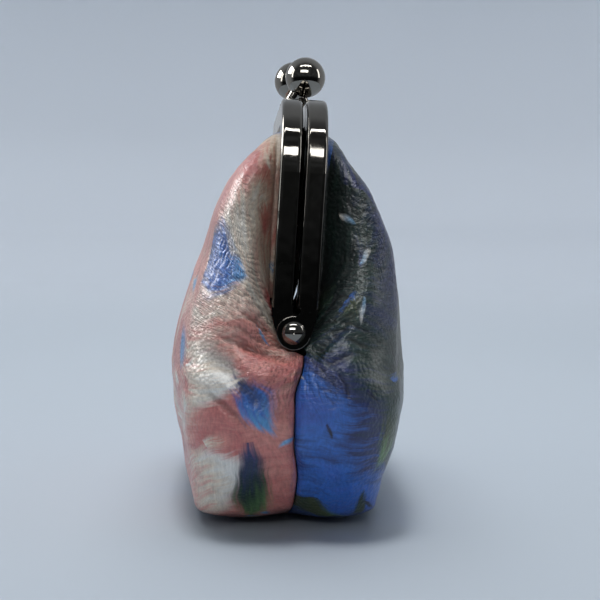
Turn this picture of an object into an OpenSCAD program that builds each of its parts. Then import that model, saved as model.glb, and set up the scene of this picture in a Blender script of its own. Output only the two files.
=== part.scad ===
// Coin purse: a soft leather bag on a hinged metal frame with a crossing ball clasp.
// X runs along the frame, Y from the front panel to the back panel, Z is up.
// The origin lies on the table, under the middle of the bag. Sizes are in millimetres.

/* [Frame] */
// Width of the frame over its two legs
frame_w = 100; // [90:1:110]
// Height of the arch above the rivets' axis
frame_h = 56; // [52:0.5:64]
// Outer radius of the two corners of the arch
corner_r = 18.5; // [15:0.5:24]
// Thickness of one bar, from front to back
bar_t = 5; // [4.7:0.1:6]
// Depth of the channel, in the plane of the arch
channel_d = 6.5; // [6:0.1:8]
// Thickness of the pressed sheet metal
sheet_t = 0.7; // [0.5:0.05:0.8]
// Radius along the two outer edges of a bar
edge_r = 1; // [0.8:0.05:1.3]
// Gap between the two closed bars
bar_gap = 1; // [0.7:0.1:1.6]
// Lean of the closed frame towards the back, in degrees
frame_lean = 2.5; // [0:0.5:6]

/* [Hinge] */
// Height of the rivets' axis above the table
hinge_z = 48.5; // [45:0.5:54]
// Radius of the round ear at the foot of each leg
ear_r = 4.1; // [3.6:0.1:4.8]
// Radius of the small edge round an outer ear
ear_edge = 0.25; // [0.1:0.05:0.35]
// Diameter of a rivet's shank
rivet_d = 2.4; // [2:0.1:3]
// Diameter of a rivet's domed head
rivet_head_d = 5.6; // [5:0.1:6.4]
// Height of a rivet's domed head
rivet_head_h = 1.4; // [1:0.1:2]
// Height of the closed tail of a rivet
rivet_tail_h = 0.6; // [0.4:0.05:0.8]
// Play of the ears on a rivet, on the radius
rivet_play = 0.05; // [0.03:0.01:0.09]
// Play between the flat faces at the hinge
ear_play = 0.06; // [0.04:0.01:0.12]
// Radius of the round relief above the ears
relief_r = 1.3; // [0.9:0.1:1.5]

/* [Clasp] */
// Diameter of a clasp ball
ball_d = 10.75; // [9.5:0.25:12.5]
// Height of the ball centres above the top of the arch
ball_rise = 8.6; // [8:0.2:10.5]
// Distance that each ball stands past the middle of the frame
ball_cross = 1.3; // [0.6:0.1:2]
// Play between the balls as they pass
ball_play = 0.2; // [0.1:0.05:0.5]
// Diameter of the leaning neck of a post
neck_d = 3; // [2.4:0.1:3.6]
// Diameter of the foot of a post
foot_d = 4.2; // [3.6:0.1:4.6]
// Height of the foot of a post
foot_h = 1; // [0.8:0.1:1.4]
// Diameter of the pin that fixes a post in its bar
pin_d = 1.8; // [1.4:0.1:2.2]
// Depth of the neck's socket in a ball
socket_depth = 2.6; // [2:0.1:3.4]
// Play of a pressed pin or neck, on the radius
fit_play = 0.02; // [0.01:0.01:0.05]

/* [Bag] */
// Length of the bag at its fullest
bag_l = 113; // [106:1:122]
// Depth of the bag at its fullest, from front to back
bag_d = 61; // [56:1:68]
// Depth of the bag at its two ends
end_d = 44; // [40:1:48]
// Radius of the upright edges between the ends and the two faces
side_r = 10; // [8:0.5:14]
// Length of the boxed base
base_l = 88; // [80:1:96]
// Depth of the boxed base
base_d = 43; // [38:1:46]
// Lift of the base's edges above the table
base_lift = 4; // [3:0.1:5]
// Thickness of the leather
leather_t = 1.2; // [0.9:0.05:1.4]
// Thickness of the lining
lining_t = 0.4; // [0.3:0.05:0.6]
// Drop of the fold line below the rivets' axis
fold_drop = 8; // [7:0.25:10]
// Depth of the dimple over a side seam at the fold line
dimple = 3; // [2:0.25:4]
// Rise of the fold line towards a side seam
seam_rise = 2.8; // [2:0.1:3.2]
// Width of leather held in the channel
tongue = 4.4; // [3.6:0.1:4.8]
// Play between the layers and round the channel's lips
layer_play = 0.1; // [0.06:0.02:0.14]
// Gap between the two panels along a seam
seam_gap = 0.2; // [0.1:0.05:0.4]
// Gap between the upper and lower part of a panel at the fold line
fold_gap = 0.3; // [0.2:0.05:0.5]
// Clear space between the leather and a channel's lip
lip_gap = 0.55; // [0.45:0.05:0.8]

/* [Hidden] */

gunmetal = [0.20, 0.20, 0.22];
rose_leather = [0.86, 0.58, 0.52];
blue_leather = [0.13, 0.21, 0.55];
lining_cloth = [0.74, 0.70, 0.66];
paper_cord = [0.80, 0.72, 0.58];

half_w = frame_w / 2;
// Inner, middle and outer face of one bar, measured from the middle of the frame
bar_in = bar_gap / 2;
bar_mid = bar_in + bar_t / 2;
bar_out = bar_in + bar_t;
// Centres of the rounded corners, which are also the ends of the straight top bar
corner_x = half_w - corner_r;
corner_z = frame_h - corner_r;
// The relief, and the foot of the channel just above the ears
relief_z = ear_r + relief_r + 0.1;
leg_z = relief_z + 0.3;
joggle_h = 1.5 * sheet_t;
// Inner ear, one sheet and one play behind the outer ear
inner_ear_x = half_w - 2 * sheet_t - ear_play;

// Layers in the channel: leather against the outer wall, lining, then the packing cord
leather_y = bar_out - sheet_t - layer_play;
lining_off = leather_t + layer_play;
cord_y_out = leather_y - lining_off - lining_t - layer_play;
cord_y_in = bar_in + sheet_t + layer_play;
cord_r = (cord_y_out - cord_y_in) / 2;
cord_y = (cord_y_out + cord_y_in) / 2;
cord_q = (channel_d - sheet_t) / 2;
leather_foot_z = leg_z + joggle_h + 0.5;

// The clasp
clasp_x = (ball_d + ball_play) / 2;
foot_z = frame_h + fit_play;
ball_z = frame_h + ball_rise;
neck_z = foot_z + foot_h - 0.2;
neck_lean = atan2(bar_mid + ball_cross, ball_z - neck_z);
neck_len = norm([bar_mid + ball_cross, ball_z - neck_z]) - ball_d / 2 + socket_depth;

// The mouth of the channel, followed from the top of the arch down one leg
mouth_r = corner_r - channel_d;
corner_len = mouth_r * PI / 2;
mouth_len = corner_x + corner_len + corner_z - leather_foot_z;

// The bag's grid: columns over its length, rows from the frame to the base
columns = 32;
bend_rows = 4;
upper_rows = 8;
wall_rows = 8;
base_rows = 4;

function mix(a, b, t) = a + (b - a) * t;
function smooth(a, b, x) = let(t = min(1, max(0, (x - a) / (b - a)))) t * t * (3 - 2 * t);
function bezier(p, t) =
  p[0] * pow(1 - t, 3) + p[1] * 3 * t * pow(1 - t, 2) + p[2] * 3 * t * t * (1 - t) + p[3] * pow(t, 3);

// A point of the channel's mouth in the plane of the arch, moved out by q
function mouth_angle(s) = 90 * (1 - min(1, max(0, (s - corner_x) / corner_len)));
function mouth_point(s, q) = let(a = mouth_angle(s), r = mouth_r + q)
  s < corner_x ? [s, corner_z + r] :
  s < corner_x + corner_len ? [corner_x + r * cos(a), corner_z + r * sin(a)] :
  [corner_x + r, corner_z - (s - corner_x - corner_len)];

// A quarter of a rounded rectangle, from the middle of the front to the side seam
function outline(a, d, r, t) = let(l1 = a - r, l2 = r * PI / 2, l3 = d - r - seam_gap / 2,
  s = t * (l1 + l2 + l3), g = (s - l1) / r * 180 / PI)
  s < l1 ? [s, -d] :
  s < l1 + l2 ? [l1 + r * sin(g), r - d - r * cos(g)] :
  [a, r - d + s - l1 - l2];

// The wall at t, from the fold line to the base: half length, half depth at the ends and in the
// middle, height, edge radius, seam dimple and seam rise
function wall(t) = let(top = hinge_z - fold_drop)
  [bezier([bag_l / 2 - 1.5, bag_l / 2 + 1.5, bag_l / 2 - 1, base_l / 2], t),
    bezier([end_d / 2 - 0.3, end_d / 2 + 1, end_d / 2, base_d / 2], t),
    bezier([bag_d / 2 - 0.2, bag_d / 2 + 1.4, bag_d / 2 - 2, base_d / 2 + 2.6], t),
    bezier([top, top * 0.78, top * 0.47, base_lift], t),
    side_r - 2 * t,
    mix(1, dimple, pow(1 - min(1, t / 0.4), 1.6)) * (1 - smooth(0.8, 1, t)),
    seam_rise * (1 - smooth(0, 0.5, t))];
// The same for the rows that turn under the base and run flat to its middle seam
function base_ring(k) = [
  [base_l / 2 - 2.5, base_d / 2 - 1.4, base_d / 2 + 1, base_lift * 0.6, side_r - 3, 0, 0],
  [base_l / 2 - 8, base_d / 2 - 4.5, base_d / 2 - 2.2, base_lift * 0.2, side_r - 4, 0, 0],
  [base_l / 2 - 16, base_d / 2 - 9, base_d / 2 - 7, 0, side_r - 5, 0, 0],
  [base_l / 2 - 20, seam_gap / 2 + 0.02, seam_gap / 2 + 0.02, 0, 0.01, 0, 0]][k - 1];
function ring_point(s, c) = let(p = outline(s[0], s[1], s[4], abs(c)))
  [sign(c) * (p[0] - s[5] * exp(-pow(p[1] / 4.5, 2))),
    p[1] * (1 + (s[2] / s[1] - 1) * (1 - pow(p[0] / s[0], 3))),
    s[3] - hinge_z + s[6] * exp(-pow(p[1] / 5, 2))];
// The gap at the fold line widens towards the side seam, where the panels turn under the ear
function fold_at(c) = fold_gap * mix(1, 5, smooth(0.75, 0.95, abs(c))) / (0.66 * (hinge_z - fold_drop));
function lower_point(c, k) = ring_point(k <= wall_rows ?
  wall(mix(fold_at(c), 1, k / wall_rows)) : base_ring(k - wall_rows), c);

// The leather leaves the channel round its outer lip, then swells down to the fold line
function bend(k) = [[tongue, leather_y], [lip_gap, leather_y], [-lip_gap - 0.4, leather_y],
  [-lip_gap - 1.1, (leather_y + bar_out + lip_gap) / 2],
  [-lip_gap - 1.5, bar_out + lip_gap + 0.2]][k];
function bend_point(c, k) = let(b = bend(k), p = mouth_point(abs(c) * mouth_len, b[0]))
  [sign(c) * p[0], -b[1], p[1]];
function swell(c, t) =
  let(s = abs(c) * mouth_len, a = mouth_angle(s),
    leg = smooth(corner_x, corner_x + corner_len, s),
    hinge = smooth(0.84, 1, abs(c)),
    p0 = bend_point(c, bend_rows),
    p3 = ring_point(wall(0), c),
    rise = p3 - ring_point(wall(0.02), c),
    out = mix(8 * leg, 4, hinge),
    p1 = p0 + [sign(c) * out * cos(a), -mix(mix(11, 6.5, leg), 1, hinge),
      out * sin(a) - mix(5 * (1 - leg), 1, hinge)],
    full = rise / norm(rise) * mix(32, 18, leg) + [0, -2, 0],
    p2 = p3 + mix(full, [-0.5 * sign(c), -5.5, 1], hinge))
  bezier([p0, p1, p2, p3], t);
function upper_point(c, k) = k <= bend_rows ? bend_point(c, k) : swell(c, (k - bend_rows) / upper_rows);

// The frame's lean fades out below the hinge; side is 1 for the front and -1 for the back
function lean_at(z) = frame_lean * smooth(-18, leg_z - 0.5, z);
function placed(p, side) = let(a = lean_at(p[2]), y = side * p[1])
  [p[0], y * cos(a) + p[2] * sin(a), hinge_z + p[2] * cos(a) - y * sin(a)];
function upper_grid(side) = [for (i = [0 : columns])
  [for (k = [0 : bend_rows + upper_rows]) placed(upper_point(2 * i / columns - 1, k), side)]];
function lower_grid(side) = [for (i = [0 : columns])
  [for (k = [0 : wall_rows + base_rows]) placed(lower_point(2 * i / columns - 1, k), side)]];

// A skin between two offsets of a grid, measured inwards from its outer face
function normal_at(g, i, k, side) =
  let(n = len(g) - 1, m = len(g[0]) - 1,
    along = g[min(n, i + 1)][k] - g[max(0, i - 1)][k],
    down = g[i][min(m, k + 1)] - g[i][max(0, k - 1)],
    v = cross(down, along))
  side * v / norm(v);
function quad(a, b, c, d, side) = side > 0 ? [[a, b, c], [a, c, d]] : [[a, c, b], [a, d, c]];
module skin(g, near, far, side) {
  n = len(g) - 1;
  m = len(g[0]) - 1;
  r = m + 1;
  h = (n + 1) * r;
  points = [for (off = [near, far]) for (i = [0 : n]) for (k = [0 : m])
    g[i][k] - off * normal_at(g, i, k, side)];
  faces = [
    for (i = [0 : n - 1]) for (k = [0 : m - 1]) let(a = i * r + k, b = a + r)
      each i < n / 2 ?
        concat(quad(b, b + 1, a + 1, a, side), quad(h + a + 1, h + b + 1, h + b, h + a, side)) :
        concat(quad(a, b, b + 1, a + 1, side), quad(h + a, h + a + 1, h + b + 1, h + b, side)),
    for (i = [0 : n - 1]) let(a = i * r, b = a + r)
      each concat(quad(b, a, h + a, h + b, side), quad(a + m, b + m, h + b + m, h + a + m, side)),
    for (k = [0 : m - 1]) let(a = k, b = n * r + k)
      each concat(quad(a, a + 1, h + a + 1, h + a, side), quad(b + 1, b, h + b, h + b + 1, side))];
  polyhedron(points = points, faces = faces, convexity = 6);
}

// The closed frame stands on the hinge and leans; the back half is the same piece turned round
module on_hinge(turn) {
  translate([0, 0, hinge_z]) rotate([-frame_lean, 0, 0]) rotate([0, 0, turn]) children();
}

// Section of the channel, its open side towards the middle of the arch
module channel_section(outer) {
  difference() {
    union() {
      translate([outer - channel_d, bar_in]) square([channel_d - edge_r, bar_t]);
      translate([outer - edge_r, bar_in + edge_r]) square([edge_r, bar_t - 2 * edge_r]);
      translate([outer - edge_r, bar_in + edge_r]) circle(r = edge_r, $fn = 48);
      translate([outer - edge_r, bar_out - edge_r]) circle(r = edge_r, $fn = 48);
    }
    translate([outer - channel_d - 1, bar_in + sheet_t])
      square([channel_d - sheet_t + 1, bar_t - 2 * sheet_t]);
  }
}
// Three sections swept along the arch: over the top bar, round both corners and down both legs.
// A section's first axis points out of the arch and its second axis towards the front.
module top_sweep() {
  translate([-corner_x, 0, 0]) rotate([90, 0, 90]) linear_extrude(height = 2 * corner_x)
    rotate(90) children();
}
module corner_sweep() {
  for (side = [0, 1]) mirror([side, 0, 0]) translate([corner_x, 0, corner_z]) rotate([90, 0, 0])
    rotate_extrude(angle = 90, $fn = 96) children();
}
module leg_sweep(foot) {
  for (side = [0, 1]) mirror([side, 0, 0]) translate([0, 0, foot]) mirror([0, 1, 0])
    linear_extrude(height = corner_z - foot) children();
}
module ear_web() {
  reach = norm([bar_out, leg_z]);
  touch = 180 - atan2(leg_z, bar_out) + acos(ear_r / reach);
  polygon([[-bar_in, leg_z], [-bar_out, leg_z],
    [ear_r * cos(touch), ear_r * sin(touch)], [0, 0]]);
}
module ear_sheet(x) {
  translate([x, 0, 0]) rotate([90, 0, 90]) linear_extrude(height = sheet_t) {
    circle(r = ear_r, $fn = 96);
    ear_web();
  }
}
// The ear that shows has its round edge broken, on the outside
module outer_ear() {
  translate([-half_w, 0, 0]) {
    rotate([90, 0, 90]) linear_extrude(height = sheet_t) ear_web();
    rotate([0, 90, 0]) rotate_extrude($fn = 96) {
      translate([0, ear_edge]) square([ear_r, sheet_t - ear_edge]);
      square([ear_r - ear_edge, sheet_t]);
      translate([ear_r - ear_edge, ear_edge]) circle(r = ear_edge, $fn = 32);
    }
  }
}
// The other ear steps in by one sheet, to pass behind the outer ear of the mating half
module inner_ear() {
  ear_sheet(inner_ear_x);
  translate([inner_ear_x, -bar_out + edge_r, leg_z])
    cube([half_w - sheet_t / 2 - inner_ear_x, bar_t - edge_r - sheet_t / 2, joggle_h]);
}
module frame_half() {
  difference() {
    union() {
      top_sweep() channel_section(frame_h);
      corner_sweep() channel_section(corner_r);
      leg_sweep(leg_z) channel_section(half_w);
      outer_ear();
      inner_ear();
    }
    for (x = [-half_w, half_w]) {
      translate([x, 0, 0]) rotate([0, 90, 0])
        cylinder(r = rivet_d / 2 + rivet_play, h = 6 * sheet_t, center = true, $fn = 64);
      translate([x, 0, relief_z]) rotate([0, 90, 0])
        cylinder(r = relief_r, h = 3 * sheet_t, center = true, $fn = 64);
    }
    translate([clasp_x, -bar_mid, frame_h - 2 * sheet_t])
      cylinder(r = pin_d / 2 + fit_play, h = 4 * sheet_t, $fn = 48);
  }
}
module front_frame() { color(gunmetal) on_hinge(0) frame_half(); }
module back_frame() { color(gunmetal) on_hinge(180) frame_half(); }

// A rivet: domed head outside, shank through both ears, closed tail inside
module rivet() {
  head_r = rivet_head_d / 2;
  dome_r = (head_r * head_r + rivet_head_h * rivet_head_h) / (2 * rivet_head_h);
  tail_x = inner_ear_x - ear_play - rivet_tail_h;
  translate([half_w + ear_play, 0, 0]) rotate([0, 90, 0]) rotate_extrude($fn = 96)
    intersection() {
      translate([0, rivet_head_h - dome_r]) circle(r = dome_r, $fn = 128);
      square([head_r, rivet_head_h]);
    }
  translate([tail_x, 0, 0]) rotate([0, 90, 0])
    cylinder(r = rivet_d / 2, h = half_w + ear_play - tail_x + rivet_head_h / 2, $fn = 64);
  translate([tail_x, 0, 0]) rotate([0, 90, 0])
    cylinder(r = rivet_d / 2 + sheet_t, h = rivet_tail_h, $fn = 64);
}
module right_hinge_rivet() { color(gunmetal) on_hinge(0) rivet(); }
module left_hinge_rivet() { color(gunmetal) on_hinge(180) rivet(); }

// A post: pin closed under the bar's web, round foot, and a neck that leans across the gap
module neck(r, from, length) {
  translate([clasp_x, -bar_mid, neck_z]) rotate([-neck_lean, 0, 0]) translate([0, 0, from])
    cylinder(r = r, h = length, $fn = 48);
}
module clasp_post() {
  under = frame_h - sheet_t - fit_play - 0.5;
  translate([clasp_x, -bar_mid, foot_z]) cylinder(d = foot_d, h = foot_h, $fn = 64);
  translate([clasp_x, -bar_mid, under]) cylinder(d = pin_d, h = foot_z - under + 0.1, $fn = 48);
  translate([clasp_x, -bar_mid, under]) cylinder(d = pin_d + sheet_t, h = 0.5, $fn = 48);
  neck(neck_d / 2, 0, neck_len);
}
module clasp_ball() {
  difference() {
    translate([clasp_x, ball_cross, ball_z]) sphere(d = ball_d, $fn = 96);
    neck(neck_d / 2 + fit_play, neck_len - socket_depth - 1, socket_depth + 1 + fit_play);
  }
}
module front_clasp_post() { color(gunmetal) on_hinge(0) clasp_post(); }
module back_clasp_post() { color(gunmetal) on_hinge(180) clasp_post(); }
module front_clasp_ball() { color(gunmetal) on_hinge(0) clasp_ball(); }
module back_clasp_ball() { color(gunmetal) on_hinge(180) clasp_ball(); }

// The twisted paper cord that jams leather and lining in the channel
module cord_section(outer) {
  translate([outer - channel_d + cord_q, cord_y]) circle(r = cord_r, $fn = 24);
}
module cord_half() {
  top_sweep() cord_section(frame_h);
  corner_sweep() cord_section(corner_r);
  leg_sweep(leather_foot_z) cord_section(half_w);
}
module front_packing_cord() { color(paper_cord) on_hinge(0) cord_half(); }
module back_packing_cord() { color(paper_cord) on_hinge(180) cord_half(); }

// Leather panels, each in the part held by the frame and the part below the fold line
module front_panel_upper() { color(rose_leather) skin(upper_grid(1), 0, leather_t, 1); }
module front_panel_lower() { color(rose_leather) skin(lower_grid(1), 0, leather_t, 1); }
module back_panel_upper() { color(blue_leather) skin(upper_grid(-1), 0, leather_t, -1); }
module back_panel_lower() { color(blue_leather) skin(lower_grid(-1), 0, leather_t, -1); }

// The lining follows the inside of the leather
module front_lining_upper() { color(lining_cloth) skin(upper_grid(1), lining_off, lining_off + lining_t, 1); }
module front_lining_lower() { color(lining_cloth) skin(lower_grid(1), lining_off, lining_off + lining_t, 1); }
module back_lining_upper() { color(lining_cloth) skin(upper_grid(-1), lining_off, lining_off + lining_t, -1); }
module back_lining_lower() { color(lining_cloth) skin(lower_grid(-1), lining_off, lining_off + lining_t, -1); }

front_frame();
back_frame();
right_hinge_rivet();
left_hinge_rivet();
front_clasp_post();
back_clasp_post();
front_clasp_ball();
back_clasp_ball();
front_packing_cord();
back_packing_cord();
front_panel_upper();
front_panel_lower();
back_panel_upper();
back_panel_lower();
front_lining_upper();
front_lining_lower();
back_lining_upper();
back_lining_lower();
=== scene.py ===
import math

import bpy
import numpy as np
from mathutils import Matrix, Vector


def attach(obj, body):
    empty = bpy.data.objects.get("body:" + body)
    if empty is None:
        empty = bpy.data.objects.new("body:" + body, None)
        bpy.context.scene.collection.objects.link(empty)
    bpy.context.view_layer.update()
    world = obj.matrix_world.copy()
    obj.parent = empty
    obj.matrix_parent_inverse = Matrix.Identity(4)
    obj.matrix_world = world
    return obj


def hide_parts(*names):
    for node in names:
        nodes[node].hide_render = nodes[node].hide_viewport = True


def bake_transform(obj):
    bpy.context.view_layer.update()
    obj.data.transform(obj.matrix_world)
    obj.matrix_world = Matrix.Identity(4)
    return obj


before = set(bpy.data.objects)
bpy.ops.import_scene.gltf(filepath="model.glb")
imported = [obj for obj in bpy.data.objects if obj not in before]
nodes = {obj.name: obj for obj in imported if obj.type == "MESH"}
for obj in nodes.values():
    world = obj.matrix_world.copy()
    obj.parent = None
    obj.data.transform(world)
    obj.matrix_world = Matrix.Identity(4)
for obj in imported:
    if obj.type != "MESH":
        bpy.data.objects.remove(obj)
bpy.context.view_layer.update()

# The two frame halves are pressed from sheet steel into a channel, polished and plated in black nickel.
# Handling leaves them with a slightly wavy mirror, faint smears and a few hair lines.


class Shade:
    """A socket of a material. Sums on it become Math nodes, and node() adds any other node."""

    def __init__(self, tree, socket=None):
        self.tree = tree
        self.socket = socket

    def node(self, kind, settings=None, inputs=None, out=0):
        made = self.tree.nodes.new(kind)
        for key, value in (settings or {}).items():
            if key == "stops":
                ramp = made.color_ramp
                while len(ramp.elements) < len(value):
                    ramp.elements.new(0.5)
                for element, (place, colour) in zip(ramp.elements, value):
                    element.position = place
                    element.color = colour
            else:
                setattr(made, key, value)
        for key, value in (inputs or {}).items():
            if isinstance(value, Shade):
                self.tree.links.new(value.socket, made.inputs[key])
            else:
                made.inputs[key].default_value = value
        return Shade(self.tree, made.outputs[out] if made.outputs else None)

    def also(self, out):
        return Shade(self.tree, self.socket.node.outputs[out])

    def sum(self, how, a, b):
        return self.node("ShaderNodeMath", {"operation": how}, {0: a, 1: b})

    def __add__(self, other):
        return self.sum("ADD", self, other)

    def __sub__(self, other):
        return self.sum("SUBTRACT", self, other)

    def __rsub__(self, other):
        return self.sum("SUBTRACT", other, self)

    def __mul__(self, other):
        return self.sum("MULTIPLY", self, other)

    def __abs__(self):
        return self.node("ShaderNodeMath", {"operation": "ABSOLUTE"}, {0: self})

    __radd__ = __add__
    __rmul__ = __mul__

    def within(self, low, high):
        """0 below low, 1 above high and a soft step between them."""
        ends = {"Value": self, "From Min": low, "From Max": high}
        return self.node("ShaderNodeMapRange", {"interpolation_type": "SMOOTHSTEP"}, ends)

    def over(self, below, above, how="MIX"):
        """A colour laid over another where this mask is 1."""
        return self.node("ShaderNodeMix", {"data_type": "RGBA", "blend_type": how},
                         {0: self, 6: below, 7: above}, 2)


def new_finish(name):
    finish = bpy.data.materials.new(name)
    finish.use_nodes = True
    finish.node_tree.nodes.clear()
    return finish, Shade(finish.node_tree)


def close_finish(pen, sockets):
    surface = pen.node("ShaderNodeBsdfPrincipled", None, sockets)
    pen.node("ShaderNodeOutputMaterial", None, {"Surface": surface})


def black_nickel(name, colour, gloss, wave):
    """Plating of one colour; gloss is its least roughness and wave the height of its ripples."""
    dull_tone, dull_rough, hair_rough, hair_height = 0.8, 0.09, 0.05, 0.02
    finish, pen = new_finish(name)
    place = pen.node("ShaderNodeTexCoord", None, None, "Object")
    smear = pen.node("ShaderNodeTexNoise", None, {"Vector": place, "Scale": 130, "Detail": 4})
    hair = pen.node("ShaderNodeMapping", None, {"Vector": place, "Scale": (900, 900, 60)})
    hair = pen.node("ShaderNodeTexNoise", None, {"Vector": hair, "Scale": 1, "Detail": 2})
    slow = pen.node("ShaderNodeTexNoise", None, {"Vector": place, "Scale": 220, "Detail": 1})
    dull = smear.within(0.45, 0.75)
    tone = dull.over((*colour, 1), (*[c * dull_tone for c in colour], 1))
    height = slow * wave + hair * (wave * hair_height)
    bump = pen.node("ShaderNodeBump", None, {"Strength": 0.25, "Distance": 0.0006, "Height": height})
    close_finish(pen, {"Base Color": tone, "Metallic": 1.0, "Normal": bump,
                       "Roughness": dull * dull_rough + hair.within(0.6, 0.8) * hair_rough + gloss})
    return finish


def plate(finish, *names):
    for name in names:
        nodes[name].data.materials.clear()
        nodes[name].data.materials.append(finish)


bar_plating = black_nickel("bar_plating", colour=(0.165, 0.156, 0.142), gloss=0.05, wave=0.55)
plate(bar_plating, "front_frame", "back_frame")

# The hinge rivets are domed steel, set by a press through the two ears of each side.
# The press leaves the dome a little brighter than the bars.

rivet_plating = black_nickel("rivet_plating", colour=(0.22, 0.208, 0.19), gloss=0.06, wave=1.6)
plate(rivet_plating, "right_hinge_rivet", "left_hinge_rivet")

# The clasp is two turned posts, closed under the bars, each with a plated ball pressed on its neck.
# The balls cross and snap past each other, so they keep the brightest polish of the purse.

ball_plating = black_nickel("ball_plating", colour=(0.25, 0.236, 0.212), gloss=0.04, wave=0.3)
plate(ball_plating, "front_clasp_post", "back_clasp_post", "front_clasp_ball", "back_clasp_ball")

# The lining is two panels of plain woven cloth, sewn along the sides and the base.
# Its edge is jammed in the channel with the leather, and it hangs just inside the leather.

# Sizes in millimetres: the channel's mouth from the rivet's axis, then the bag, its base and its seams
MM = 0.001
axis_z = 48.5
fold_drop = 8.0
frame_lean = math.radians(2.5)
corner_x, corner_z, mouth_r = 31.5, 37.5, 12.0
corner_run = mouth_r * math.pi / 2
leather_foot = 7.35
mouth_run = corner_x + corner_run + corner_z - leather_foot
leather_y, bar_out, lip_gap, tongue = 4.7, 5.5, 0.55, 4.4
bag_l, bag_d, end_d, side_r = 113.0, 60.4, 44.0, 10.0
base_l, base_d, base_lift = 88.0, 42.6, 4.0
seam_gap, dimple, seam_rise, notch = 0.2, 3.0, 2.8, 1.5
dimple_reach, rise_reach, puff_r = 4.5, 5, 2.6


def ease(low, high, x):
    t = np.clip((x - low) / (high - low), 0, 1)
    return t * t * (3 - 2 * t)


def between(a, b, t):
    return a + (b - a) * t


def bezier(p, t):
    return p[0] * (1 - t) ** 3 + p[1] * 3 * t * (1 - t) ** 2 + p[2] * 3 * t * t * (1 - t) + p[3] * t ** 3


def spline(keys, t):
    """A smooth curve through rows of keys, t counting the keys."""
    keys = np.asarray(keys, float)
    i = int(min(max(math.floor(t), 0), len(keys) - 2))
    f = t - i
    a, b = keys[i], keys[i + 1]
    before = keys[max(i - 1, 0)]
    after = keys[min(i + 2, len(keys) - 1)]
    m0, m1 = (b - before) / 2, (after - a) / 2
    return (a * (2 * f ** 3 - 3 * f * f + 1) + m0 * (f ** 3 - 2 * f * f + f)
            + b * (3 * f * f - 2 * f ** 3) + m1 * (f ** 3 - f * f))


def mouth_angle(run):
    return math.pi / 2 * (1 - np.clip((run - corner_x) / corner_run, 0, 1))


def mouth_point(run, into):
    """A point beside the channel's mouth: along the arch from its middle, and into the channel."""
    a, r = mouth_angle(run), mouth_r + into
    x = np.where(run < corner_x, run, corner_x + r * np.cos(a))
    z = np.where(run < corner_x + corner_run, corner_z + r * np.sin(a),
                 corner_z - (run - corner_x - corner_run))
    return x, z


def leaned(x, y, z, lean):
    """Points measured from the rivet's axis, turned about it and set in their place."""
    return np.stack([x, y * np.cos(lean) + z * np.sin(lean),
                     axis_z + z * np.cos(lean) - y * np.sin(lean)], -1)


def outline(a, d, r, t):
    """A quarter of a rounded rectangle, from the middle of a face to the side seam."""
    flat, turn, end = a - r, r * math.pi / 2, d - r - seam_gap / 2
    s = t * (flat + turn + end)
    g = (s - flat) / max(r, 1e-6)
    x = np.where(s < flat, s, np.where(s < flat + turn, flat + r * np.sin(g), a))
    y = np.where(s < flat, -d, np.where(s < flat + turn, r - d - r * np.cos(g), r - d + s - flat - turn))
    return x, y


fold_z = axis_z - fold_drop
length_curve = (bag_l / 2 - 1.5, bag_l / 2 + 1.5, bag_l / 2 - 1, base_l / 2)
end_curve = (end_d / 2 - 0.3, end_d / 2 + 1, end_d / 2, base_d / 2)
middle_curve = (bag_d / 2 - 0.2, bag_d / 2 + 1.4, bag_d / 2 - 2, base_d / 2 + 2.6)
height_curve = (fold_z, fold_z * 0.78, fold_z * 0.47, base_lift)


def wall(t):
    """A ring's sizes, from the fold at 0 to the base at 1: half its length, half its depth at the ends
    and in the middle, its height and corner radius, and the pinch and rise of its end seam."""
    pinch = (1 + (dimple - 1) * (1 - min(1, t / 0.4)) ** 1.6) * (1 - ease(0.8, 1, t))
    rise = seam_rise * (1 - ease(0, 0.5, t)) + notch * ease(0.85, 1, t)
    return np.array([bezier(length_curve, t), bezier(end_curve, t), bezier(middle_curve, t),
                     bezier(height_curve, t), side_r - 2 * t, pinch, rise])


half_l, half_d = base_l / 2, base_d / 2
base_rings = [wall(0.9), wall(1.0),
              (half_l - 2.5, half_d - 1.4, half_d + 1.0, base_lift * 0.6, side_r - 3, 0, notch),
              (half_l - 8, half_d - 4.5, half_d - 2.2, base_lift * 0.2, side_r - 4, 0, notch * 0.6),
              (half_l - 16, half_d - 9, half_d - 7, 0, side_r - 5, 0, 0),
              (half_l - 20, 0.12, 0.12, 0, 0.01, 0, 0)]
base_spans = len(base_rings) - 2


def ring(sizes, c):
    """A line round one panel, c from -1 to 1 between its side seams."""
    length, ends, middle, height, corner, pinch, rise = sizes
    x, y = outline(length, ends, corner, np.abs(c))
    bow = 1 + (middle / ends - 1) * (1 - (x / length) ** 3)
    pinch = pinch * np.exp(-(y / dimple_reach) ** 2)
    rise = rise * np.exp(-(y / rise_reach) ** 2)
    return np.stack([np.sign(c) * (x - pinch), y * bow, height - axis_z + rise], -1)


# The bend of a panel round the channel's lip: how far into the channel, and how far out from its middle
lip_bend = [(tongue, leather_y), (lip_gap, leather_y), (-lip_gap - 0.4, leather_y),
            (-lip_gap - 1.1, (leather_y + bar_out + lip_gap) / 2),
            (-lip_gap - 1.5, bar_out + lip_gap + 0.2)]
lip_spans = len(lip_bend) - 1


def lip(k, c):
    into, out = spline(lip_bend, k)
    x, z = mouth_point(np.abs(c) * mouth_run, into)
    return np.stack([np.sign(c) * x, np.full_like(c, -out), z], -1)


# How the swell leaves the lip at the bar, the legs and the hinge, and how it arrives at the fold
leg_out, hinge_out = 11, 6
bar_side, hinge_side = 9.6, -0.85
leg_side = {1: 9.0, -1: 12.0}
bar_sink, hinge_sink = 5, 5
bar_lift, leg_drop, lift_lean = 32, 14, -2.0
hinge_arrival = (-6.2, -2.8, 0.6)


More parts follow.
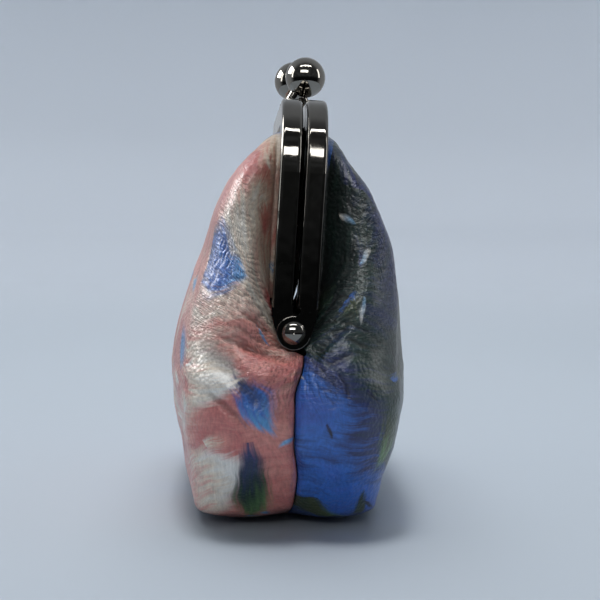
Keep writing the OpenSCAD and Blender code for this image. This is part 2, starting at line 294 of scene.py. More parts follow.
def swell(t, c, valley):
    run = np.abs(c) * mouth_run
    a = mouth_angle(run)
    leg = ease(corner_x, corner_x + corner_run, run)
    hinge = ease(0.84, 1, np.abs(c))
    start, end = lip(lip_spans, c), ring(wall(0), c)
    rise = end - ring(wall(0.02), c)
    rise = rise / np.linalg.norm(rise, axis=-1, keepdims=True)
    out = between(leg_out * leg, hinge_out, hinge)
    side = between(between(bar_side, valley, leg), hinge_side, hinge)
    sink = between(bar_sink * (1 - leg), hinge_sink, hinge)
    lift = bar_lift - leg_drop * leg
    rise = rise * lift[:, None] + np.array([0, lift_lean, 0])
    rise = rise * (1 - hinge)[:, None]
    inward, forward, upward = hinge_arrival
    rise += hinge[:, None] * np.stack([inward * np.sign(c), np.full_like(c, forward),
                                       np.full_like(c, upward)], -1)
    leave = start + np.stack([np.sign(c) * out * np.cos(a), -side, out * np.sin(a) - sink], -1)
    return bezier((start, leave, end + rise, end), t)


def bag_row(kind, t, c, valley):
    if kind == "lip":
        return lip(t, c)
    if kind == "swell":
        return swell(t, c, valley)
    if kind == "wall":
        return ring(wall(t), c)
    return ring(spline(base_rings, 1 + t), c)


def unit(grid):
    return grid / np.maximum(np.linalg.norm(grid, axis=-1, keepdims=True), 1e-9)


def outward(points, side):
    """Unit normals of a skin."""
    along = np.gradient(points, axis=0)
    down = np.gradient(points, axis=1)
    return unit(side * np.cross(down, along))


def settled(grid, times):
    """A grid of vectors with its sharp turns averaged out."""
    for _ in range(times):
        wide = np.pad(grid, ((1, 1), (1, 1), (0, 0)), mode="edge")
        grid = (4 * grid + wide[2:, 1:-1] + wide[:-2, 1:-1] + wide[1:-1, 2:] + wide[1:-1, :-2]) / 8
    return grid


def crease(across, level, line, width):
    """1 on a line drawn on the end of the bag, with a low rim beside it, fading towards its two tips."""
    rim_height, rim_gap = 0.4, 2.1
    deep = np.zeros_like(across)
    count = len(line) - 1
    for k in range(count):
        (a0, l0), (a1, l1) = line[k], line[k + 1]
        da, dl = a1 - a0, l1 - l0
        f = np.clip(((across - a0) * da + (level - l0) * dl) / (da * da + dl * dl), 0, 1)
        gap = np.hypot(across - a0 - f * da, level - l0 - f * dl)
        tip = (k + f) / count
        fade = np.minimum(1, 0.25 + 3 * tip) * np.minimum(1, 3.5 * (1 - tip))
        rim = rim_height * np.exp(-((gap - rim_gap * width) / width) ** 2)
        deep = np.maximum(deep, fade * (np.exp(-(gap / width) ** 2) - rim))
    return deep


# Creases (depth, width, line) and bulges (height, middle, reach) on one end of a panel, measured
# across from the seam and up from the rivet's axis; the two panels change places at the far end.
full_end = ([(1.45, 1.5, [(1, -6.2), (5, -5.6), (10, -3.4), (15, -0.5)]),
             (1.3, 2.5, [(20, -4.5), (14.5, -8.5), (9, -13.5), (5, -16)]),
             (0.7, 0.7, [(4.5, -1), (9, 2.2), (13, 4.5)]),
             (0.7, 0.7, [(4.8, -3.6), (9.5, -0.9), (15, 2.0)]),
             (0.55, 0.6, [(5.5, 1.5), (9, 6), (12, 10)]),
             (0.5, 0.6, [(7, -4.6), (13, -2.6), (18, -1)]),
             (0.5, 1.2, [(10, -21), (16, -16), (21, -13)])],
            [(2.0, (7.5, -10), (7, 4)), (1.0, (13, 4), (5, 6)), (0.8, (10, -25), (8, 11))])
slack_end = ([(1.5, 1.3, [(2.5, -6), (7, -2.8), (11, 2), (13, 6)]),
              (0.7, 0.9, [(5, -8.5), (9, -6), (14, -4)]),
              (0.6, 0.8, [(9, -7.5), (12, -11), (12.5, -15)]),
              (0.6, 0.7, [(12, 0), (17, -2.5)]),
              (0.6, 0.7, [(13, 3), (18, 1)])],
             [(1.5, (9, -7), (7, 6)), (0.8, (15, 8), (4, 8)), (0.7, (11, -25), (8, 11))])

# Slack (push, height, reach) that moves both panels to one side, and one more place for each panel
slack = ((0.8, 57, 9), (0.9, 70, 6), (-0.5, 86, 5), (-0.7, 91, 4))
tucks = {1: (0.8, 64.5, 5), -1: (-0.75, 13, 5)}
base_sway, top_narrowing = 0.8, 0.17


def hump(z, push, height, reach):
    return push * np.exp(-((z - height) / reach) ** 2)


def bag_skin(c, rows, side):
    """The folded outer face of a panel, row after row, in millimetres; side is 1 in front, -1 behind."""
    p = np.stack([bag_row(kind, t, c, leg_side[side]) for kind, t in rows], 1)
    end = np.sign(c)[:, None]
    nearly = np.maximum(puff_r + p[..., 1], 0)
    turned = puff_r - np.sqrt(np.maximum(puff_r ** 2 - nearly ** 2, 0))
    p[..., 0] -= end * turned * ease(1, -6, p[..., 2]) * ease(-48, -44, p[..., 2])
    across, level = -p[..., 1], p[..., 2]
    for sign in (1, -1):
        creases, bulges = full_end if sign == side else slack_end
        fold = np.zeros_like(across)
        for depth, width, line in creases:
            fold -= depth * crease(across, level, line, width)
        for height, (a, l), (ra, rl) in bulges:
            fold += height * np.exp(-((across - a) / ra) ** 2 - ((level - l) / rl) ** 2)
        on_end = ease(38, 46, sign * p[..., 0]) * ease(0, 2.5, across)
        p += outward(p, 1) * (fold * on_end)[..., None]
    # The lean of the frame, the slack of the body and the wander of the side seam
    z = axis_z + p[..., 2]
    lean = frame_lean * ease(-18, 5.3, p[..., 2])
    face = ease(6.5, 16, -p[..., 1])
    free = np.minimum(1, face + ease(0, -8, p[..., 2]))
    sway = sum(hump(z, *place) for place in slack) - base_sway * ease(20, 5, z)
    tuck = hump(z, *tucks[side])
    near_seam = 0.4 + 2.1 * ease(33.5, 42, z) + 1.5 * ease(23, 12, z)
    far_seam = 0.9 * np.sin(z / 7) - 0.4
    wander = np.where(end > 0, near_seam, far_seam) * ease(-2.8, -5.2, p[..., 2])
    wander = wander * np.exp(-(p[..., 1] / 8) ** 2) * ease(30, 45, np.abs(p[..., 0]))
    narrow = 1 - top_narrowing * ease(82, 98, z) * free
    y = side * p[..., 1] * narrow + sway * free + tuck * face + wander
    return leaned(p[..., 0], y, p[..., 2], lean)


def shell(name, outer, inner, step, chart, side, finish):
    """A closed shell from an outer skin and an inner skin that has one of every step rows and columns."""
    n, m = outer.shape[:2]
    a, b = inner.shape[:2]
    index = np.arange(n * m).reshape(n, m)
    under = n * m + np.arange(a * b).reshape(a, b)

    def quads(g):
        return np.stack([g[:-1, :-1], g[:-1, 1:], g[1:, 1:], g[1:, :-1]], -1).reshape(-1, 4)

    faces = quads(index).tolist() + quads(under)[:, ::-1].tolist()
    for fine, coarse, turned in ((index[0], under[0], 0), (index[-1], under[-1], 1),
                                 (index[:, 0], under[:, 0], 1), (index[:, -1], under[:, -1], 0)):
        for i in range(len(coarse) - 1):
            edge = fine[step * i:step * (i + 1) + 1].tolist()[::-1]
            rim = [*edge, int(coarse[i]), int(coarse[i + 1])]
            faces.append(rim[::-1] if turned else rim)
    if side < 0:
        faces = [f[::-1] for f in faces]
    mesh = bpy.data.meshes.new(name)
    mesh.from_pydata(np.concatenate([outer.reshape(-1, 3), inner.reshape(-1, 3)]) * MM, [], faces)
    spots = np.concatenate([chart.reshape(-1, 2), chart[::step, ::step].reshape(-1, 2)])
    corner = np.zeros(len(mesh.loops), int)
    mesh.loops.foreach_get("vertex_index", corner)
    mesh.uv_layers.new(name="cut").data.foreach_set("uv", spots[corner].ravel())
    mesh.shade_smooth()
    mesh.materials.append(finish)
    obj = bpy.data.objects.new(name, mesh)
    bpy.context.scene.collection.objects.link(obj)
    return obj


def spread(parts):
    """Places from -1 to 1, alike on both sides of 0; each part (end, count) of a side is evenly filled."""
    half, low = [0.0], 0.0
    for end, count in parts:
        half += list(low + (end - low) * (np.arange(count) + 1) / count)
        low = end
    half = np.array(half)
    return np.concatenate([-half[:0:-1], half])


def bag_rows(lips, swells, walls, bases):
    return ([("lip", lip_spans * i / lips) for i in range(lips)]
            + [("swell", i / swells) for i in range(swells)]
            + [("wall", i / walls) for i in range(walls)]
            + [("base", base_spans * i / bases) for i in range(bases + 1)])


def stages(rows):
    """-1 to 0 on the lip, then 0 to 1 on the swell, 1 to 2 on the wall and 2 to 3 on the base."""
    return np.array([{"lip": -1 + t / lip_spans, "swell": t, "wall": 1 + t, "base": 2 + t / base_spans}[kind]
                     for kind, t in rows])[None, :]


thread_scale, slub_scale, slub_height = 60, 22, 0.3
lining_finish, pen = new_finish("lining_weave")
chart = pen.node("ShaderNodeUVMap", {"uv_map": "cut"})
wefts = pen.node("ShaderNodeTexWave", {"bands_direction": "X"}, {"Vector": chart, "Scale": thread_scale})
warps = pen.node("ShaderNodeTexWave", {"bands_direction": "Y"}, {"Vector": chart, "Scale": thread_scale})
slub = pen.node("ShaderNodeTexNoise", None, {"Vector": chart, "Scale": slub_scale, "Detail": 5})
weave = wefts * warps
cloth = slub.within(0.3, 0.7).over((0.48, 0.43, 0.37, 1), (0.60, 0.55, 0.48, 1))
cloth = weave.within(0.1, 0.8).over((0.36, 0.32, 0.28, 1), cloth)
bump = pen.node("ShaderNodeBump", None,
                {"Strength": 0.4, "Distance": 0.0002, "Height": weave + slub * slub_height})
close_finish(pen, {"Base Color": cloth, "Roughness": 0.85, "Normal": bump, "Sheen Weight": 0.15})

# The lining lies close to the leather in the channel and further off below it, where its folds are softer
lining_t, channel_off, further_off = 0.3, 1.42, 1.18
skin_rounds, lining_rounds = 30, 60
chart_across, lining_chart_down = 0.8, 0.012
lining_c = spread([(0.5, 16), (0.96, 48), (1.0, 12)])
lining_rows = bag_rows(lips=12, swells=40, walls=36, bases=16)
lining_stage = stages(lining_rows)
leg_foot = ease(0.84, 0.95, np.abs(lining_c))[:, None] * ease(-0.5, 0, lining_stage)
loose = np.maximum(np.clip(lining_stage / 0.1, 0, 1), leg_foot)[..., None]
lining_off = channel_off + further_off * np.maximum(ease(0, 0.12, lining_stage), leg_foot)[..., None]
for side, name in ((1, "front"), (-1, "back")):
    skin = bag_skin(lining_c, lining_rows, side)
    skin = between(skin, settled(skin, skin_rounds), loose)
    normal = outward(skin, side)
    normal = unit(between(normal, unit(settled(normal, lining_rounds)), loose))
    chart = np.stack(np.meshgrid(lining_c * chart_across, np.arange(len(lining_rows)) * lining_chart_down,
                                 indexing="ij"), -1)
    outer = skin - lining_off * normal
    lining = shell(name + "_lining", outer, outer - lining_t * normal, 1, chart, side, lining_finish)
    name + "_half"
    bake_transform(lining)
    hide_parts(name + "_lining_upper", name + "_lining_lower")

# The two leather panels are soft printed leather, sewn face to face along the sides and the base and turned.
# Their upper edge is jammed in the channel, so they swell over the legs and crease round the hinge.

leather_t, inner_step, leather_rounds = 1.2, 4, 12
ear_back, ear_room = 48.25, 4.5
leather_chart_down = 0.01
leather_c = spread([(0.5, 44), (0.965, 138), (1.0, 26)])
leather_rows = bag_rows(lips=12, swells=92, walls=68, bases=16)
row_gap = {"lip": 0.6, "swell": 0.46, "wall": 0.6, "base": 1.4}
row_at = np.cumsum([row_gap[kind] for kind, t in leather_rows])[None, :]
stage_at = stages(leather_rows)


def drift(seed, a, b):
    """Smooth seeded noise from about -1 to 1, one step of a or b to a lattice cell."""
    turn = np.random.default_rng(seed).uniform(0, 2 * math.pi, (258, 258))
    a, b = np.broadcast_arrays(np.mod(a + 128, 256), np.mod(b + 128, 256))
    i, j = np.floor(a).astype(int), np.floor(b).astype(int)
    f, g = a - i, b - j

    def pull(di, dj):
        return np.cos(turn[i + di, j + dj]) * (f - di) + np.sin(turn[i + di, j + dj]) * (g - dj)

    u, v = f ** 3 * (f * (6 * f - 15) + 10), g ** 3 * (g * (6 * g - 15) + 10)
    low = pull(0, 0) * (1 - u) + pull(1, 0) * u
    high = pull(0, 1) * (1 - u) + pull(1, 1) * u
    return 1.5 * (low * (1 - v) + high * v)


def furrows(seed, a, b, sharp):
    """Narrow winding valleys between soft pads, where a noise changes sign."""
    pad_height, wind = 0.35, 0.45
    bent = a + wind * drift(seed + 1, a / 3.1, b / 1.3)
    return pad_height - np.exp(-(drift(seed, bent, b) / sharp) ** 2)


def relief(skin, normal):
    """How far each point lies in a hollow, and on a crest, from 0 to 1, clear of the upper and lower edge."""
    edge_rows = 12
    hollow = np.zeros(skin.shape[:2])
    for step, depth in ((2, 0.09), (7, 0.7)):
        padded = np.pad(skin, ((step, step), (step, step), (0, 0)), mode="edge")
        rim = (padded[2 * step:, step:-step] + padded[:-2 * step, step:-step]
               + padded[step:-step, 2 * step:] + padded[step:-step, :-2 * step]) / 4
        hollow += np.sum((rim - skin) * normal, -1) / depth
    hollow[:, :edge_rows], hollow[:, -edge_rows:] = 0, 0
    return np.clip(hollow, 0, 1), np.clip(-hollow, 0, 1)


def leather_print(name, start, pale_top, wash, upper, lower, dots):
    """Satin leather with a grain, under a print of loose brush strokes, each kind in two mixes of tones."""
    finish, pen = new_finish(name)
    place = pen.node("ShaderNodeTexCoord", None, None, "Object")
    chart = pen.node("ShaderNodeUVMap", {"uv_map": "cut"})
    down = pen.node("ShaderNodeSeparateXYZ", None, {0: chart}, 1)
    slow = pen.node("ShaderNodeTexNoise", None, {"Vector": chart, "Scale": 2.4, "Detail": 3}, "Color")
    warped = pen.node("ShaderNodeVectorMath", {"operation": "MULTIPLY_ADD"},
                      {0: slow, 1: (0.24, 0.24, 0), 2: chart})

    def bristles(x, y, shift, along, across):
        comb = pen.node("ShaderNodeCombineXYZ", None, {0: x * along, 1: y * across, 2: shift})
        return pen.node("ShaderNodeTexNoise", None,
                        {"Vector": comb, "Scale": 1, "Detail": 6, "Roughness": 0.62})

    def strokes(under, spacing, shift, wide, share, tones):
        """One painted stroke to a cell, turned at random, with ragged edges and bristle marks along it."""
        taper, ragged, soft_edge, fade_along = 3.2, 0.22, 0.13, 1.1
        laid = pen.node("ShaderNodeMapping", None, {"Vector": warped, "Location": (shift, shift * 1.7, 0),
                                                    "Scale": (1 / spacing, 1 / spacing, 1)})
        cell = pen.node("ShaderNodeTexVoronoi", {"voronoi_dimensions": "2D"},
                        {"Vector": laid, "Scale": 1, "Randomness": 0.8}, "Position")
        turn = pen.node("ShaderNodeSeparateColor", None, {0: cell.also("Color")}, 0)
        arm = pen.node("ShaderNodeVectorMath", {"operation": "SUBTRACT"}, {0: laid, 1: cell})
        arm = pen.node("ShaderNodeVectorRotate", {"rotation_type": "Z_AXIS"},
                       {"Vector": arm, "Angle": turn * 6.28})
        x = pen.node("ShaderNodeSeparateXYZ", None, {0: arm}, 0)
        y = x.also(1)
        comb = bristles(x, y, shift=turn * 40, along=3.0, across=26.0)
        middle = abs(y)
        edge = (1 - x * x * taper) * wide - middle + (comb - 0.5) * ragged
        mask = edge.within(0, soft_edge) * (share - turn.also(1)).within(0, 0.02)
        along = x * fade_along + 0.5 + (comb - 0.5) * 1.0
        first = pen.node("ShaderNodeValToRGB", {"stops": tones[0]}, {0: along})
        second = pen.node("ShaderNodeValToRGB", {"stops": tones[1]}, {0: along})
        return mask.over(under, turn.also(2).within(0.5, 0.52).over(first, second))

    def mark(label):
        return pen.node("ShaderNodeAttribute", {"attribute_name": label}, None, "Fac")

    # The print, from a broad wash up to small dots
    wash_fall, wash_patch, wash_brush, fibre_share = 0.55, 1.5, 0.5, 0.6
    x = pen.node("ShaderNodeSeparateXYZ", None, {0: warped}, 0)
    brush = bristles(x, x.also(1), shift=0.0, along=9.0, across=60.0)
    broad = pen.node("ShaderNodeTexNoise", None, {"Vector": warped, "Scale": 2.1, "Detail": 2})
    paint = pen.node("ShaderNodeValToRGB", {"stops": wash},
                     {0: down * wash_fall + (broad - 0.5) * wash_patch + (brush - 0.5) * wash_brush
                      + pale_top})
    paint = strokes(paint, spacing=0.42, shift=start + 3.1, wide=0.34, share=1.1 - down * 0.95, tones=upper)
    paint = strokes(paint, spacing=0.15, shift=start + 5.3, wide=0.20, share=0.45 - down * 0.25, tones=upper)
    paint = strokes(paint, spacing=0.27, shift=start + 7.7, wide=0.22, share=down * 0.9 + 0.1, tones=lower)
    paint = strokes(paint, spacing=0.07, shift=start + 1.3, wide=0.16, share=0.1, tones=dots)
    fibre = bristles(x, x.also(1), shift=5.0, along=110.0, across=40.0)
    fibre = fibre.within(0.25, 0.7).over((0.62, 0.62, 0.64, 1), (1.15, 1.14, 1.12, 1))
    paint = pen.node("ShaderNodeMix", {"data_type": "RGBA", "blend_type": "MULTIPLY"},
                     {0: fibre_share, 6: paint, 7: fibre}, 2)

    # Painted shade in the furrows, crests lightened as rub wear and painted highlight, painted shade and
    # soiling beside the channel, and painted shade at the base
    painted_furrow_shade, rub_and_highlight, channel_shade, base_shade = 0.42, 0.22, 0.55, 0.75
    furrow_depth = mark("furrow")
    # painted shade: the furrows of the wrinkles are darkened where they would shade themselves
    paint = (furrow_depth * painted_furrow_shade).over(paint, (0.12, 0.10, 0.10, 1), "MULTIPLY")
    # the crests are lightened, partly as rub wear and partly as painted highlight
    crest_rub_and_highlight = mark("crest")
    paint = (crest_rub_and_highlight * rub_and_highlight).over(paint, (0.95, 0.90, 0.86, 1), "SOFT_LIGHT")
    # painted shade and soiling: the leather is darker tan where it sinks beside the channel
    paint = ((1 - down.within(0.09, 0.23)) * channel_shade).over(paint, (0.40, 0.31, 0.22, 1), "MULTIPLY")
    # painted shade: the leather darkens towards the base, where the bag sits in its own shadow
    paint = (down.within(0.88, 1.0) * base_shade).over(paint, (0.12, 0.12, 0.14, 1), "MULTIPLY")

    # Pores, grain and the hair-fine creases that fan out where the leather is pinched
    grain_height, pore_depth, line_depth = 0.8, 1.1, 1.5
    least_rough, grain_rough, furrow_rough = 0.31, 0.14, 0.2
    pore = pen.node("ShaderNodeTexVoronoi", {"feature": "F1"}, {"Vector": place, "Scale": 1100})
    grain = pen.node("ShaderNodeTexNoise", None,
                     {"Vector": place, "Scale": 800, "Detail": 5, "Roughness": 0.65})
    spoke, far, pinched = mark("spoke"), mark("far"), mark("pinched")
    rays = pen.node("ShaderNodeCombineXYZ", None, {0: spoke, 1: far, 2: 0.0})
    lines = pen.node("ShaderNodeTexNoise", None, {"Vector": rays, "Scale": 1, "Detail": 2, "Distortion": 0.6})
    lines = abs(lines - 0.5).within(0, 0.1)
    height = grain * grain_height - pore * pore_depth + lines * pinched * line_depth
    bump = pen.node("ShaderNodeBump", None, {"Strength": 0.6, "Distance": 0.0003, "Height": height})
    rough = grain.within(0.3, 0.7) * grain_rough + furrow_depth * furrow_rough + least_rough
    close_finish(pen, {"Base Color": paint, "Roughness": rough, "Normal": bump, "Specular IOR Level": 0.5,
                       "Coat Weight": 0.38, "Coat Roughness": 0.28})
    return finish


rose, salmon, mauve = (0.56, 0.165, 0.16, 1), (0.70, 0.29, 0.245, 1), (0.34, 0.12, 0.15, 1)
cream, chalk, clay = (0.80, 0.70, 0.58, 1), (0.88, 0.88, 0.85, 1), (0.30, 0.215, 0.14, 1)
sky, cobalt, navy = (0.09, 0.32, 0.68, 1), (0.035, 0.155, 0.58, 1), (0.018, 0.03, 0.13, 1)
violet, bottle, ink = (0.05, 0.12, 0.52, 1), (0.016, 0.042, 0.035, 1), (0.006, 0.009, 0.012, 1)
leaf, olive, pale = (0.12, 0.25, 0.09, 1), (0.055, 0.075, 0.03, 1), (0.24, 0.50, 0.80, 1)
rose_print = leather_print(
    "rose_print", start=27.9, pale_top=0.16,
    wash=[(0.0, chalk), (0.18, cream), (0.36, salmon), (0.52, rose), (0.68, salmon), (0.82, rose),
          (0.95, mauve)],
    upper=([(0.05, chalk), (0.3, cream), (0.55, salmon), (0.9, rose)],
           [(0.1, sky), (0.3, cream), (0.5, clay), (0.85, rose)]),
    lower=([(0.1, navy), (0.5, cobalt), (0.85, sky)], [(0.1, navy), (0.5, bottle), (0.9, leaf)]),
    dots=([(0.2, chalk), (0.8, cream)], [(0.2, sky), (0.8, pale)]))
blue_print = leather_print(
    "blue_print", start=40.6, pale_top=0.02,
    wash=[(0.0, ink), (0.2, bottle), (0.36, navy), (0.5, cobalt), (0.66, violet), (0.8, cobalt),
          (0.95, sky)],
    upper=([(0.1, ink), (0.5, bottle), (0.9, navy)], [(0.15, bottle), (0.55, olive), (0.9, cobalt)]),
    lower=([(0.1, ink), (0.5, bottle), (0.85, olive)], [(0.15, bottle), (0.55, olive), (0.9, leaf)]),
    dots=([(0.2, pale), (0.8, chalk)], [(0.2, ink), (0.8, navy)]))

# Depth and slant of the shoulder's wrinkles, and the hub and fan of the hair-fine creases, on each panel
shoulder = {1: (0.32, -0.45), -1: (0.2, 0.15)}
steeper = 0.4
hubs = {1: 15, -1: 60}
hub_drop, ray_reach, ray_gap, ray_length = 10, 25, 1.1, 5

for side, name, dye, finish in ((1, "front", "rose", rose_print), (-1, "back", "blue", blue_print)):
    skin = bag_skin(leather_c, leather_rows, side)
    normal = outward(skin, side)
    run = leather_c[:, None] * mouth_run
    legs = ease(36, 52, np.abs(run))
    hinge_end = ease(64, 74, np.abs(run))
    over = ease(0.12, 0.35, stage_at) * ease(1.0, 0.72, stage_at) * legs
    below = ease(0.3, 0.65, stage_at) * ease(1.4, 1.1, stage_at) * hinge_end
    across, level = -side * skin[..., 1], skin[..., 2] - axis_z
    reach, turn = np.hypot(across, level + 2), np.arctan2(level + 2, across)
    patch = 0.7 + 0.5 * drift(60 + side, across / 7, level / 7)
    high = over * ease(3, 12, level)
    low = np.maximum(over, below) * ease(14, 5, level) * ease(22, 14, reach)
    gathers = ease(0.0, 0.08, stage_at) * ease(0.55, 0.2, stage_at) * (1 - legs)
    # Wrinkles over the shoulder, round the hinge and under the bar, each with its share, its place
    # across and along the furrows and its sharpness, and then the slack of the whole panel
    depth, slant = shoulder[side]
    wrinkles = ((depth * high * patch, (level + slant * across) / 1.05, across / 5.0, 0.17),
                (0.12 * high, (level + (slant - steeper) * across) / 0.8, across / 2.2, 0.22),
                (0.46 * low * patch, turn * 8.5, reach / 6.5, 0.17),
                (0.2 * low, turn * 14, reach / 4, 0.24),
                (0.3 * gathers, run / 4.5, row_at / 16, 0.5))
    fine = sum(share * furrows(100 * k + 10 * side, a, b, sharp)
               for k, (share, a, b, sharp) in enumerate(wrinkles, 1))
    fine += 0.35 * drift(40 + side, run / 13, row_at / 11) + 0.16 * drift(50 + side, run / 5, row_at / 4.5)
    fine *= ease(-0.15, 0.1, stage_at) * ease(2.4, 2.05, stage_at)
    fine *= ease(1.0, 0.985, np.abs(leather_c))[:, None]
    outer = skin + normal * fine[..., None]
    # The ears turn clear of the leather
    unmoved = outer.copy()
    spot = outer - np.array([0, 0, axis_z])
    from_axis = np.hypot(spot[..., 1], spot[..., 2])
    past_back, past_rim = np.abs(spot[..., 0]) - ear_back, ear_room - from_axis
    in_ear = (past_back > 0) & (past_rim > 0)
    pressed = in_ear & (past_back < past_rim)
    outer[..., 0] = np.where(pressed, np.sign(spot[..., 0]) * ear_back, outer[..., 0])
    grow = np.where(in_ear & ~pressed, ear_room / np.maximum(from_axis, 1), 1)
    outer[..., 1] *= grow
    outer[..., 2] = axis_z + spot[..., 2] * grow
    calm = between(normal, unit(settled(normal, leather_rounds)), ease(0, 0.12, stage_at)[..., None])
    inner = (skin + outer - unmoved - leather_t * unit(calm))[::inner_step, ::inner_step]
    chart = np.stack(np.broadcast_arrays(leather_c[:, None] * chart_across, row_at * leather_chart_down), -1)
    leather = shell(name + "_leather", outer, inner, inner_step, chart, side, finish)
    hub = hubs[side]
    spoke = np.arctan2(level + hub_drop, across + hub) * (hub + ray_reach) / ray_gap
    far = np.hypot(level + hub_drop, across + hub) / ray_length
    pinched = np.maximum(over, below) * np.clip(patch, 0, 1) * ease(36, 45, np.abs(skin[..., 0]))
    for label, marks in zip(("furrow", "crest", "spoke", "far", "pinched"),
                            (*relief(outer, normal), spoke, far, pinched)):
        marks = np.concatenate([marks.ravel(), np.zeros(inner.shape[0] * inner.shape[1])])
        leather.data.attributes.new(label, "FLOAT", "POINT").data.foreach_set("value", marks)
    name + "_half"
    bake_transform(leather)
    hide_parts(name + "_panel_upper", name + "_panel_lower")
    dye + "_leather"

# The packing cords are twisted paper, jammed into each channel behind the tucked edges, which they hold.
# Each one runs round the whole arch, from the foot of one leg to the foot of the other.

cord_y, cord_into, route_points = 2.1, 2.9, 281
strand_r, strand_off, lay_length = 0.42, 0.40, 7.0
strand_count, strand_sides = 3, 9

paper_finish, pen = new_finish("twisted_paper")
place = pen.node("ShaderNodeTexCoord", None, None, "Object")
pulp = pen.node("ShaderNodeTexNoise", None, {"Vector": place, "Scale": 900, "Detail": 6, "Roughness": 0.7})
fleck = pen.node("ShaderNodeTexNoise", None, {"Vector": place, "Scale": 160, "Detail": 3})
paper = pulp.within(0.3, 0.7).over((0.30, 0.215, 0.125, 1), (0.50, 0.39, 0.25, 1))
paper = fleck.within(0.6, 0.75).over(paper, (0.24, 0.17, 0.10, 1))
bump = pen.node("ShaderNodeBump", None, {"Strength": 0.5, "Distance": 0.0002, "Height": pulp})
close_finish(pen, {"Base Color": paper, "Roughness": pulp.within(0.3, 0.7) * 0.15 + 0.7, "Normal": bump})

tree = bpy.data.node_groups.new("twisted_cord", "GeometryNodeTree")
tree.interface.new_socket("Geometry", in_out="INPUT", socket_type="NodeSocketGeometry")
for label in ("Strand radius", "Strand offset", "Twist"):
    tree.interface.new_socket(label, in_out="INPUT", socket_type="NodeSocketFloat")
tree.interface.new_socket("Paper", in_out="INPUT", socket_type="NodeSocketMaterial")
tree.interface.new_socket("Geometry", in_out="OUTPUT", socket_type="NodeSocketGeometry")
pen = Shade(tree)
path = pen.node("NodeGroupInput", None, None, "Geometry")
length = pen.node("GeometryNodeSplineParameter", None, None, "Length")
wound = pen.node("GeometryNodeSetCurveTilt", None, {"Curve": path, "Tilt": length * path.also("Twist")})
spots = pen.node("GeometryNodeMeshCircle", None,
                 {"Vertices": strand_count, "Radius": path.also("Strand offset")})
strand = pen.node("GeometryNodeCurvePrimitiveCircle", None,
                  {"Resolution": strand_sides, "Radius": path.also("Strand radius")})
strands = pen.node("GeometryNodeInstanceOnPoints", None, {"Points": spots, "Instance": strand})
strands = pen.node("GeometryNodeRealizeInstances", None, {"Geometry": strands})
cord = pen.node("GeometryNodeCurveToMesh", None,
                {"Curve": wound, "Profile Curve": strands, "Fill Caps": True})
cord = pen.node("GeometryNodeRealizeInstances", None, {"Geometry": cord})
cord = pen.node("GeometryNodeSetMaterial", None, {"Geometry": cord, "Material": path.also("Paper")})
pen.node("NodeGroupOutput", None, {"Geometry": cord})

for side, name in ((1, "front"), (-1, "back")):
    c = np.linspace(-1, 1, route_points)
    x, z = mouth_point(np.abs(c) * mouth_run, cord_into)
    points = leaned(np.sign(c) * x, -side * cord_y, z, frame_lean) * MM
    route = bpy.data.curves.new(name + "_route", "CURVE")
    route.dimensions = "3D"
    line = route.splines.new("POLY")
    line.points.add(len(points) - 1)
    line.points.foreach_set("co", np.column_stack([points, np.ones(len(points))]).ravel())
    guide = bpy.data.objects.new(name + "_route", route)
    bpy.context.scene.collection.objects.link(guide)
    winding = guide.modifiers.new("winding", "NODES")
    winding.node_group = tree
    given = {"Strand radius": strand_r * MM, "Strand offset": strand_off * MM,
             "Twist": 2 * math.pi / (lay_length * MM), "Paper": paper_finish}
    for socket in tree.interface.items_tree:
        if socket.in_out == "INPUT" and socket.name in given:
            winding[socket.identifier] = given[socket.name]
    seen = guide.evaluated_get(bpy.context.evaluated_depsgraph_get())
    mesh = bpy.data.meshes.new_from_object(seen)
    bpy.data.objects.remove(guide)
    mesh.shade_smooth()
    packing = bpy.data.objects.new(name + "_paper_cord", mesh)
    bpy.context.scene.collection.objects.link(packing)
    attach(packing, name + "_half")
    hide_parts(name + "_packing_cord")

# The studio is a sweep of pale blue-grey paper under soft lamps, in a dim room.
# The camera stands low at the end of the purse, so the hinge faces it.

sweep_finish, pen = new_finish("pale_sweep")
place = pen.node("ShaderNodeTexCoord", None, None, "Object")
away = pen.node("ShaderNodeVectorMath", {"operation": "LENGTH"}, {0: place}, "Value")
tone = away.within(0.3, 1.5).over((0.435, 0.487, 0.545, 1), (0.82, 0.885, 0.97, 1))
close_finish(pen, {"Base Color": tone, "Roughness": 0.7, "Specular IOR Level": 0.0})
full_turn = 96
floor = [(0, 0), (0.15, 0), (0.3, 0)]
rim = [(0.3, 0), (0.9, 0), (1.2, 0.05), (1.42, 0.2), (1.55, 0.5), (1.6, 1.6)]
for name, profile, first, last in (("floor", floor, 0, full_turn), ("far_sweep", rim, 20, 76),
                                   ("near_sweep", rim, -20, 20)):
    turns = [2 * math.pi * i / full_turn for i in range(first, last + 1)]
    points = [(r * math.cos(a), r * math.sin(a), z) for r, z in profile for a in turns]
    row = len(turns)
    faces = [(j * row + i, (j + 1) * row + i, (j + 1) * row + i + 1, j * row + i + 1)
             for j in range(len(profile) - 1) for i in range(row - 1)]
    mesh = bpy.data.meshes.new(name)
    mesh.from_pydata(points, [], faces)
    mesh.shade_smooth()
    mesh.materials.append(sweep_finish)
    sweep = bpy.data.objects.new(name, mesh)
    bpy.context.scene.collection.objects.link(sweep)
    sweep.visible_glossy = name == "floor"
    sweep.visible_diffuse = name != "near_sweep"

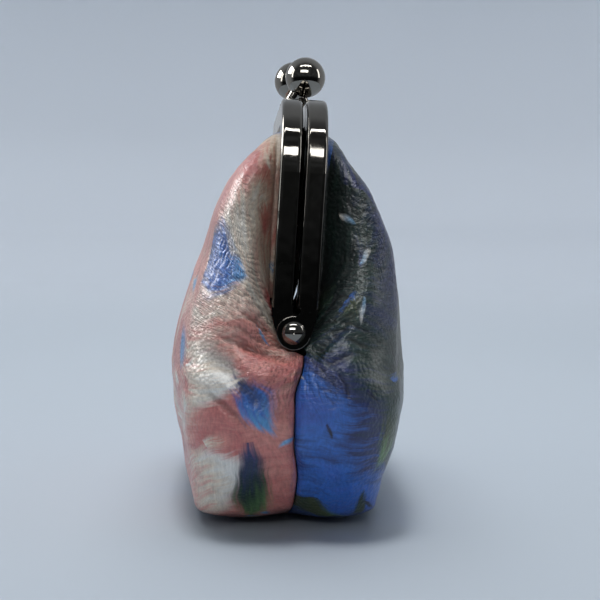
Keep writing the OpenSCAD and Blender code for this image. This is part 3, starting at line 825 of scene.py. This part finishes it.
world = bpy.data.worlds.new("studio")
bpy.context.scene.world = world
world.use_nodes = True
world.node_tree.nodes.clear()
pen = Shade(world.node_tree)
way = pen.node("ShaderNodeTexCoord", None, None, "Generated")
room = pen.node("ShaderNodeTexNoise", None, {"Vector": way, "Scale": 7, "Detail": 1})
room = room.within(0.4, 0.6).over((0.045, 0.048, 0.05, 1), (0.10, 0.107, 0.115, 1))
way = pen.node("ShaderNodeSeparateXYZ", None, {0: way}, "X")
room = way.also("Z").within(-0.1, 0.16).over((0.010, 0.011, 0.012, 1), room)
room = way.within(-0.25, 0.35).over((0.42, 0.445, 0.48, 1), room)
room = pen.node("ShaderNodeBackground", None, {"Color": room, "Strength": 1.0})
pen.node("ShaderNodeOutputWorld", None, {"Surface": room})

# Each lamp's place, size and power, whether it lights dull surfaces, and whether bright ones show it
look_at = Vector((0, 0, 0.06))
lamps = (("window", (0.995, -0.15, 0.73), (0.9, 0.26), 7, False, True),
         ("strip", (0.37, 0, 1.0), (0.9, 0.07), 3, False, True),
         ("left_strip", (0.15, -1.2, 0.5), (0.2, 0.8), 2.5, False, True),
         ("right_strip", (0.15, 1.2, 0.5), (0.2, 0.8), 2.5, False, True),
         ("overhead", (-0.34, -0.05, 1.15), (1.0, 1.0), 9, True, False),
         ("key", (0.04, -0.08, 1.2), (0.22, 0.22), 5, True, False),
         ("sheen", (-0.35, -0.9, 0.6), (0.6, 0.45), 13, False, True),
         ("fill", (0.995, -0.15, 0.73), (0.9, 0.26), 2.9, True, False))
for name, place, size, power, lights_dull, shows in lamps:
    lamp = bpy.data.lights.new(name, "AREA")
    lamp.shape = "RECTANGLE"
    lamp.size, lamp.size_y = size
    lamp.energy = power
    light = bpy.data.objects.new(name, lamp)
    light.location = place
    light.rotation_euler = (look_at - Vector(place)).to_track_quat("-Z", "Y").to_euler()
    light.visible_camera = False
    light.visible_diffuse = lights_dull
    light.visible_glossy = shows
    bpy.context.scene.collection.objects.link(light)

eye = Vector((0.30592, -0.01211, 0.07684))
yaw, pitch, roll = math.radians(3.006), math.radians(4.57), math.radians(0.943)
ahead = Vector((-math.cos(pitch) * math.cos(yaw), math.cos(pitch) * math.sin(yaw), -math.sin(pitch)))
right = Vector((math.sin(yaw), math.cos(yaw), 0))
up = right.cross(ahead)
right, up = (math.cos(roll) * right + math.sin(roll) * up, math.cos(roll) * up - math.sin(roll) * right)
lens = bpy.data.cameras.new("camera")
lens.sensor_width = 36
lens.lens = 66.056
lens.clip_start = 0.01
camera = bpy.data.objects.new("camera", lens)
camera.matrix_world = Matrix.Translation(eye) @ Matrix((right, up, -ahead)).transposed().to_4x4()
bpy.context.scene.collection.objects.link(camera)
bpy.context.scene.camera = camera
bpy.context.scene.view_settings.view_transform = "Standard"
